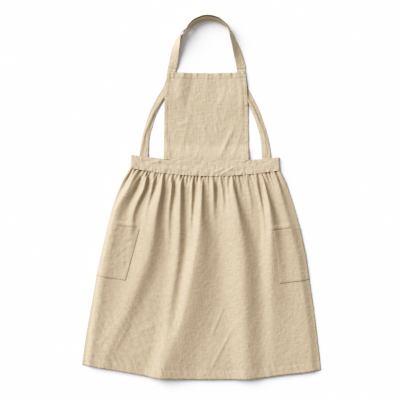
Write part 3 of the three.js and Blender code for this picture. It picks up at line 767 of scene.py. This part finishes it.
def strap_surface(across, along, is_left):
    """The strap's upper face: a band carried along a smooth curve through its stations, turned about
    that curve by its lean, and raised by half its cloth and its relief."""
    stations = strap_stations(is_left)
    x, y, z, lean, away, width = (through(column, along) for column in stations.T)
    ahead = np.clip(along + COURSE_STEP, 0, 1)
    behind = np.clip(along - COURSE_STEP, 0, 1)
    course_x = through(stations[:, 0], ahead) - through(stations[:, 0], behind)
    course_y = through(stations[:, 1], ahead) - through(stations[:, 1], behind)
    length = np.hypot(course_x, course_y)
    inward = np.stack([course_y / length, -course_x / length, 0 * x], axis=-1)
    up = np.array([0.0, 0.0, 1.0])
    sine, cosine = np.sin(lean)[..., None], np.cos(lean)[..., None]
    sideways = inward * cosine + up * sine
    outward = up * cosine - inward * sine
    centre = np.stack([x, y, z], axis=-1) + outward * away[..., None]
    reach_down = np.abs(np.sin(lean)) * width / 2 + np.abs(np.cos(lean)) * STRAP_LAYER / 2
    centre[..., 2] = np.maximum(centre[..., 2], reach_down)
    face = STRAP_FACE + strap_relief(across, along, is_left)
    placed = centre + sideways * ((across - 0.5) * width)[..., None] + outward * face[..., None]
    placed[..., 2] = np.maximum(placed[..., 2], STRAP_WALL + 0.1)
    return placed


# Meshes
def table_origin():
    """Where the middle of the waist seam lies in the frame, in metres, from the waistband's solid."""
    low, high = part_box("waistband")
    lowest = waist_seam(np.linspace(0, 1, 2001)).min()
    return np.array([(low[0] + high[0]) / 2, low[1] - lowest / 1000, 0.0])


ORIGIN = table_origin()


def to_frame(points):
    """Millimetres of the cut to metres of the frame."""
    return points / 1000 + ORIGIN


def mesh_object(name, vertices, faces, material, cloth=None):
    """A smooth mesh object at the origin; cloth holds each vertex's place on the flat cloth in metres."""
    mesh = bpy.data.meshes.new(name)
    mesh.from_pydata(vertices.tolist(), [], faces)
    mesh.polygons.foreach_set("use_smooth", np.ones(len(faces), bool))
    if cloth is not None:
        corner = np.empty(len(mesh.loops), np.int32)
        mesh.loops.foreach_get("vertex_index", corner)
        layer = mesh.uv_layers.new(name="cloth")
        layer.data.foreach_set("uv", cloth[corner].astype(np.float32).ravel())
    mesh.materials.append(material)
    mesh.update()
    piece = bpy.data.objects.new(name, mesh)
    bpy.context.scene.collection.objects.link(piece)
    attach(piece, "root")
    return piece


def grid_faces(rows, columns, flip=False):
    """Quads of a grid of points whose index grows along each row."""
    index = np.arange(rows * columns).reshape(rows, columns)
    quads = [index[:-1, :-1], index[1:, :-1], index[1:, 1:], index[:-1, 1:]]
    quads = quads[::-1] if flip else quads
    return np.stack(quads, axis=-1).reshape(-1, 4).tolist()


def cloth_piece(name, points, wall, material, node, flip=False):
    """A sheet of cloth from a grid of points on its outer face, thickened inwards by its wall."""
    rows, columns = points.shape[:2]
    across = np.linalg.norm(np.diff(points, axis=1), axis=-1)
    along = np.linalg.norm(np.diff(points, axis=0), axis=-1)
    u = np.concatenate([np.zeros((rows, 1)), np.cumsum(across, axis=1)], axis=1)
    u = u - u[:, columns // 2][:, None]
    v = np.concatenate([np.zeros((1, columns)), np.cumsum(along, axis=0)], axis=0)
    cloth = np.stack([u, -v], axis=-1).reshape(-1, 2) / 1000
    vertices = to_frame(points.reshape(-1, 3))
    piece = mesh_object(name, vertices, grid_faces(rows, columns, flip), material, cloth)
    thickness = piece.modifiers.new("wall", "SOLIDIFY")
    thickness.thickness = wall / 1000
    thickness.offset = -1
    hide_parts(node)
    return piece


def stitches_along(points, normals):
    """Corners of the stitches along a path on the cloth, four rings of five for each: a stitch is a low
    bar of thread whose ends sink into the cloth."""
    travelled = np.concatenate([[0], np.cumsum(np.linalg.norm(np.diff(points, axis=0), axis=1))])
    count = int(travelled[-1] // (STITCH_LENGTH + STITCH_SPACE))
    middles = (np.arange(count) + 0.5) * travelled[-1] / count
    at = middles[:, None] + np.array([-0.5, -0.25, 0.25, 0.5]) * STITCH_LENGTH
    spine = np.stack([np.interp(at, travelled, points[:, k]) for k in range(3)], axis=-1)
    normal = np.stack([np.interp(at, travelled, normals[:, k]) for k in range(3)], axis=-1)
    forward = spine[:, -1:] - spine[:, :1]
    forward = forward / np.linalg.norm(forward, axis=-1, keepdims=True)
    side = np.cross(forward, normal)[:, :, None]
    angle = (np.arange(5) * 2 * np.pi / 5)[:, None]
    radius = np.array([0.4, 1, 1, 0.4])[:, None, None] * STITCH_THICKNESS / 2
    ring = radius * (np.cos(angle) * side + np.sin(angle) * normal[:, :, None])
    height = np.array([-0.15, 0.35, 0.35, -0.15])[:, None] * STITCH_THICKNESS
    return ((spine + normal * height)[:, :, None] + ring).reshape(-1, 3)


def stitch_piece(name, lines):
    """One closed mesh for each stitch, all in one object, along lines of points and outward normals."""
    vertices = np.concatenate([stitches_along(*line) for line in lines])
    first = np.arange(0, len(vertices), 20)
    ring, corner = (index.ravel() for index in np.meshgrid(np.arange(3), np.arange(5), indexing="ij"))
    after = (corner + 1) % 5
    here, ahead = 5 * ring, 5 * ring + 5
    quad = np.stack([here + corner, ahead + corner, ahead + after, here + after], axis=-1)
    sides = (first[:, None, None] + quad).reshape(-1, 4)
    caps = np.concatenate([first[:, None] + np.arange(5), first[:, None] + np.arange(19, 14, -1)])
    piece = mesh_object(name, to_frame(vertices), sides.tolist() + caps.tolist(), THREAD)


def seam_lines(points, outward, rows=(), columns=()):
    """Rows and columns of a grid as lines of points and outward normals."""
    normals = outward * normals_of(points)
    lines = [(points[row], normals[row]) for row in rows]
    return lines + [(points[:, column], normals[:, column]) for column in columns]


# Materials: real sizes of their patterns in millimetres
# The threads of such linen lie 0.5 mm apart, which is too fine to show, so they are drawn as coarse as a
# close look needs
THREAD_SPACING = 0.75
SLUB_LENGTH = 34
SLUB_WIDTH = 1.8
RUMPLE_SIZE = 11.11
TWIST_SIZE = 0.4
# How often the wave texture repeats in a unit at a scale of 1
WAVES_A_UNIT = 20 / (2 * np.pi)


def colour(hex_code):
    """sRGB hex to linear RGBA."""
    srgb = np.array([int(hex_code[i:i + 2], 16) for i in (1, 3, 5)]) / 255
    linear = np.where(srgb <= 0.04045, srgb / 12.92, ((srgb + 0.055) / 1.055) ** 2.4)
    return (*linear.tolist(), 1.0)


def add_node(material, kind, inputs=None, **settings):
    """Adds a shader node with its settings; an input is a value, or an output socket to link from."""
    tree = material.node_tree
    node = tree.nodes.new("ShaderNode" + kind)
    for key, value in settings.items():
        setattr(node, key, value)
    for key, value in (inputs or {}).items():
        if isinstance(value, bpy.types.NodeSocket):
            tree.links.new(value, node.inputs[key])
        else:
            node.inputs[key].default_value = value
    return node


def linen(name, base, slub, streak):
    """Washed plain-weave linen: matt, slightly hairy yarn of uneven thickness, so the eye sees fine
    crossing threads, longer pale and dark slubs both ways, a soft rumple from the wash, and no gloss."""
    material = bpy.data.materials.new(name)
    material.use_nodes = True
    shader = material.node_tree.nodes["Principled BSDF"]
    place = add_node(material, "UVMap", uv_map="cloth").outputs["UV"]
    threads = []
    for direction in ("X", "Y"):
        wave = add_node(material, "TexWave", {
            "Vector": place, "Scale": 1000 / THREAD_SPACING / WAVES_A_UNIT,
            "Distortion": 1.2, "Detail": 1.0, "Detail Scale": 0.4,
        }, wave_type="BANDS", bands_direction=direction)
        threads.append(wave.outputs["Fac"])
    weave = add_node(material, "Math", {0: threads[0], 1: threads[1]}, operation="MULTIPLY")
    slubs = []
    for across_mm, along_mm in ((SLUB_LENGTH, SLUB_WIDTH), (SLUB_WIDTH, SLUB_LENGTH)):
        stretched = add_node(material, "Mapping", {
            "Vector": place, "Scale": (1000 / across_mm, 1000 / along_mm, 1)})
        noise = add_node(material, "TexNoise", {
            "Vector": stretched.outputs["Vector"], "Scale": 1.0, "Detail": 3.0, "Roughness": 0.6})
        slubs.append(noise.outputs["Fac"])
    slubbed = add_node(material, "Math", {0: slubs[0], 1: slubs[1]}, operation="ADD")
    tone = add_node(material, "MapRange", {
        "Value": slubbed.outputs[0], "From Min": 0.74, "From Max": 1.26})
    paint = add_node(material, "Mix", {
        "Factor": tone.outputs[0], "A": colour(slub), "B": colour(streak)}, data_type="RGBA")
    mid = add_node(material, "Mix", {
        "Factor": 0.5, "A": paint.outputs["Result"], "B": colour(base)}, data_type="RGBA")
    shade = add_node(material, "MapRange", {
        "Value": weave.outputs[0], "To Min": 0.93, "To Max": 1.03})
    final = add_node(material, "Mix", {
        "Factor": 1.0, "A": mid.outputs["Result"], "B": shade.outputs[0]},
        data_type="RGBA", blend_type="MULTIPLY")
    relief = add_node(material, "Bump", {
        "Height": weave.outputs[0], "Strength": 0.5, "Distance": THREAD_SPACING / 3500})
    crumple = add_node(material, "TexNoise", {
        "Vector": place, "Scale": 1000 / RUMPLE_SIZE, "Detail": 4.0, "Roughness": 0.55})
    rumpled = add_node(material, "Bump", {
        "Height": crumple.outputs["Fac"], "Strength": 0.7, "Distance": 0.0022,
        "Normal": relief.outputs["Normal"]})
    slub_relief = add_node(material, "Bump", {
        "Height": slubbed.outputs[0], "Strength": 0.7, "Distance": 0.0012,
        "Normal": rumpled.outputs["Normal"]})
    links = material.node_tree.links
    links.new(final.outputs["Result"], shader.inputs["Base Color"])
    links.new(slub_relief.outputs["Normal"], shader.inputs["Normal"])
    shader.inputs["Roughness"].default_value = 0.94
    shader.inputs["Sheen Weight"].default_value = 0.12
    shader.inputs["Sheen Roughness"].default_value = 0.6
    shader.inputs["Specular IOR Level"].default_value = 0.2
    return material


def thread(name, base):
    """Spun polyester-cotton sewing thread: a twisted, faintly bright strand in the cloth's own tone."""
    material = bpy.data.materials.new(name)
    material.use_nodes = True
    shader = material.node_tree.nodes["Principled BSDF"]
    place = add_node(material, "TexCoord").outputs["Object"]
    twist = add_node(material, "TexNoise", {
        "Vector": place, "Scale": 1000 / TWIST_SIZE, "Detail": 1.0})
    tone = add_node(material, "MapRange", {
        "Value": twist.outputs["Fac"], "To Min": 0.85, "To Max": 1.08})
    mixed = add_node(material, "Mix", {
        "Factor": 1.0, "A": colour(base), "B": tone.outputs[0]}, data_type="RGBA", blend_type="MULTIPLY")
    material.node_tree.links.new(mixed.outputs["Result"], shader.inputs["Base Color"])
    shader.inputs["Roughness"].default_value = 0.7
    return material


# One linen whose tone differs a little from piece to piece: its base, its dark and its pale slubs
SKIRT_LINEN = linen("washed_linen_skirt", "#b4a490", "#a1917b", "#c5b7a2")
BIB_LINEN = linen("washed_linen_bib", "#b9a995", "#a69680", "#c9bca8")
BAND_LINEN = linen("doubled_linen_band", "#bcac98", "#a99983", "#ccbfab")
STRAP_LINEN = linen("doubled_linen_strap", "#b9a995", "#a79680", "#cabca8")
THREAD = thread("sewing_thread", "#a89678")


# The pieces
def places_round(counts):
    """Places round a loop or a fold, one unit for each stretch, with each stretch's own number."""
    places = [np.linspace(i, i + 1, count)[:-1] for i, count in enumerate(counts)]
    return np.concatenate([*places, [len(counts)]])[None, :]


def make_skirt():
    """The skirt: its rows lie closest near the seam and its columns over the front, and its hem is
    stitched."""
    around = places_round((9, 8, 296, 8, 9))
    even = np.linspace(0, 1, 148)
    down = (even ** 1.25 * (1 - even) + even * even)[:, None]
    points = skirt_surface(around, down)
    skirt = cloth_piece("skirt_cloth", points, SKIRT_WALL, SKIRT_LINEN, "skirt")
    hem_row = np.abs((1 - down[:, 0]) * SKIRT_LENGTH - HEM_TURN).argmin()
    stitch_piece("skirt_hem_stitches", seam_lines(points, 1, [hem_row]))


def make_waistband():
    """The waistband: a double band round the front and both sides, stitched along both edges."""
    around = places_round((13, 10, 260, 10, 13))
    down = np.linspace(0, 1, 31)[:, None]
    points = band_surface(around, down)
    band = cloth_piece("waistband_cloth", points, BAND_WALL, BAND_LINEN, "waistband")
    edge_row = round(BAND_SEAM / WAIST_HEIGHT * (len(down) - 1))
    lines = seam_lines(points, 1, [edge_row, len(down) - 1 - edge_row])
    stitch_piece("waistband_stitches", lines)


def make_bib():
    """The bib: one panel of an even grid, with stitches along its top and side hems."""
    columns, rows = 130, 140
    points = bib_surface(np.linspace(0, 1, columns)[None, :], np.linspace(0, 1, rows)[:, None])
    bib = cloth_piece("bib_cloth", points, BIB_WALL, BIB_LINEN, "bib")
    top = round(BIB_TOP_HEM / BIB_HEIGHT * (rows - 1))
    side = round(BIB_SIDE_HEM / BIB_WAIST_WIDTH * (columns - 1))
    stitch_piece("bib_hem_stitches", seam_lines(points, 1, [top], [side, columns - 1 - side]))


def make_pocket(on_left):
    """A pocket on the left or the right side fold, stitched along its mouth, its foot and its front."""
    side = "left" if on_left else "right"
    points = pocket_surface(places_round((14, 9, 56)), np.linspace(0, 1, 90)[:, None], on_left)
    node = "pocket_" + side
    cloth = node + "_cloth"
    pocket = cloth_piece(cloth, points, POCKET_WALL, SKIRT_LINEN, node, not on_left)
    mouth = round(POCKET_HEM / POCKET_HEIGHT * (len(points) - 1))
    lines = seam_lines(points, 1 if on_left else -1, [mouth, -2], [-2])
    stitch_piece(node + "_stitches", lines)


def make_strap(is_left):
    """A strap, from its sewn end over the neck loop to the waistband, stitched along both edges."""
    side = "left" if is_left else "right"
    across = np.linspace(0, 1, 25)[None, :]
    along = np.linspace(0, 1, 420)[:, None]
    points = strap_surface(across, along, is_left)
    node = "strap_" + side
    strap = cloth_piece(node + "_cloth", points, STRAP_WALL, STRAP_LINEN, node, True)
    edge = round(SEAM_INSET / STRAP_WIDTH * (across.size - 1))
    lines = seam_lines(points, -1, columns=[edge, across.size - 1 - edge])
    stitch_piece(node + "_stitches", lines)


make_skirt()
make_waistband()
make_bib()
for on_left in (True, False):
    make_pocket(on_left)
    make_strap(on_left)


# The studio: the picture's middle and the camera's sensor in millimetres, lengths in metres, angles in
# degrees
PHOTO_MIDDLE = (-16.5, -78.2)
PHOTO_WIDTH = 1.32
CAMERA_HEIGHT = 3.0
SENSOR_WIDTH = 36
TABLE_HALF = 6
SUN_STRENGTH = 5.3
SUN_WIDTH = 45
SUN_FROM_ABOVE = 55.5
SUN_TURNED = 38
ROOM_STRENGTH = 0.49

# The print's tone curve: the scene's light, up to a white level, and the light that is shown for it
CURVE_WHITE = 1.4
PRINT_CURVE = [
    (0.1, 0.08), (0.22, 0.2), (0.36, 0.357), (0.61, 0.64), (0.87, 0.86), (1.02, 0.95), (1.13, 0.99),
]
# Deep shades are warmer and lights are whiter: the shown green and blue, before and after
GREEN_CURVE = [(0.16, 0.152), (0.35, 0.35), (0.7, 0.705)]
BLUE_CURVE = [(0.12, 0.1), (0.22, 0.21), (0.38, 0.388), (0.5, 0.53), (0.75, 0.76)]


def make_floor():
    """A wide table top of white painted board: bright, even and without gloss."""
    mesh = bpy.data.meshes.new("white_table")
    corners = [(TABLE_HALF * x, TABLE_HALF * y, 0) for x, y in ((-1, -1), (1, -1), (1, 1), (-1, 1))]
    mesh.from_pydata(corners, [], [(0, 1, 2, 3)])
    floor = bpy.data.objects.new("white_table", mesh)
    bpy.context.scene.collection.objects.link(floor)
    board = bpy.data.materials.new("matt_white_board")
    board.use_nodes = True
    shader = board.node_tree.nodes["Principled BSDF"]
    shader.inputs["Base Color"].default_value = colour("#e6e6e6")
    shader.inputs["Roughness"].default_value = 0.95
    mesh.materials.append(board)


def make_lights():
    """One broad soft light low from the upper left, and an even white room."""
    light = bpy.data.lights.new("window", "SUN")
    light.energy = SUN_STRENGTH
    light.angle = np.radians(SUN_WIDTH)
    light.color = (1.0, 0.995, 0.985)
    lamp = bpy.data.objects.new("window", light)
    lamp.rotation_euler = (0, -np.radians(SUN_FROM_ABOVE), -np.radians(SUN_TURNED))
    bpy.context.scene.collection.objects.link(lamp)
    world = bpy.data.worlds.new("white_room")
    world.use_nodes = True
    background = world.node_tree.nodes["Background"]
    background.inputs["Color"].default_value = (1, 1, 1, 1)
    background.inputs["Strength"].default_value = ROOM_STRENGTH
    bpy.context.scene.world = world


def make_camera():
    """Straight above, framed as the photograph is."""
    lens = bpy.data.cameras.new("above")
    lens.sensor_width = SENSOR_WIDTH
    lens.lens = SENSOR_WIDTH * CAMERA_HEIGHT / PHOTO_WIDTH
    camera = bpy.data.objects.new("above", lens)
    middle = to_frame(np.array([*PHOTO_MIDDLE, 0.0]))
    camera.location = (middle[0], middle[1], CAMERA_HEIGHT)
    bpy.context.scene.collection.objects.link(camera)
    bpy.context.scene.camera = camera


make_floor()
make_lights()
make_camera()


def set_print_curve():
    """A print's tones: one curve for all channels, nearly straight in its middle, with deeper shades and
    softer lights, and small ones for green and blue."""
    view = bpy.context.scene.view_settings
    view.view_transform = "Standard"
    view.use_curve_mapping = True
    mapping = view.curve_mapping
    mapping.white_level = (CURVE_WHITE,) * 3
    green, blue, combined = mapping.curves[1:]
    for scene_value, shown_value in PRINT_CURVE:
        combined.points.new(scene_value / CURVE_WHITE, shown_value)
    combined.points[-1].location = (1, 1)
    for curve, table in ((green, GREEN_CURVE), (blue, BLUE_CURVE)):
        for before, after in table:
            curve.points.new(before, after)
    mapping.update()


set_print_curve()
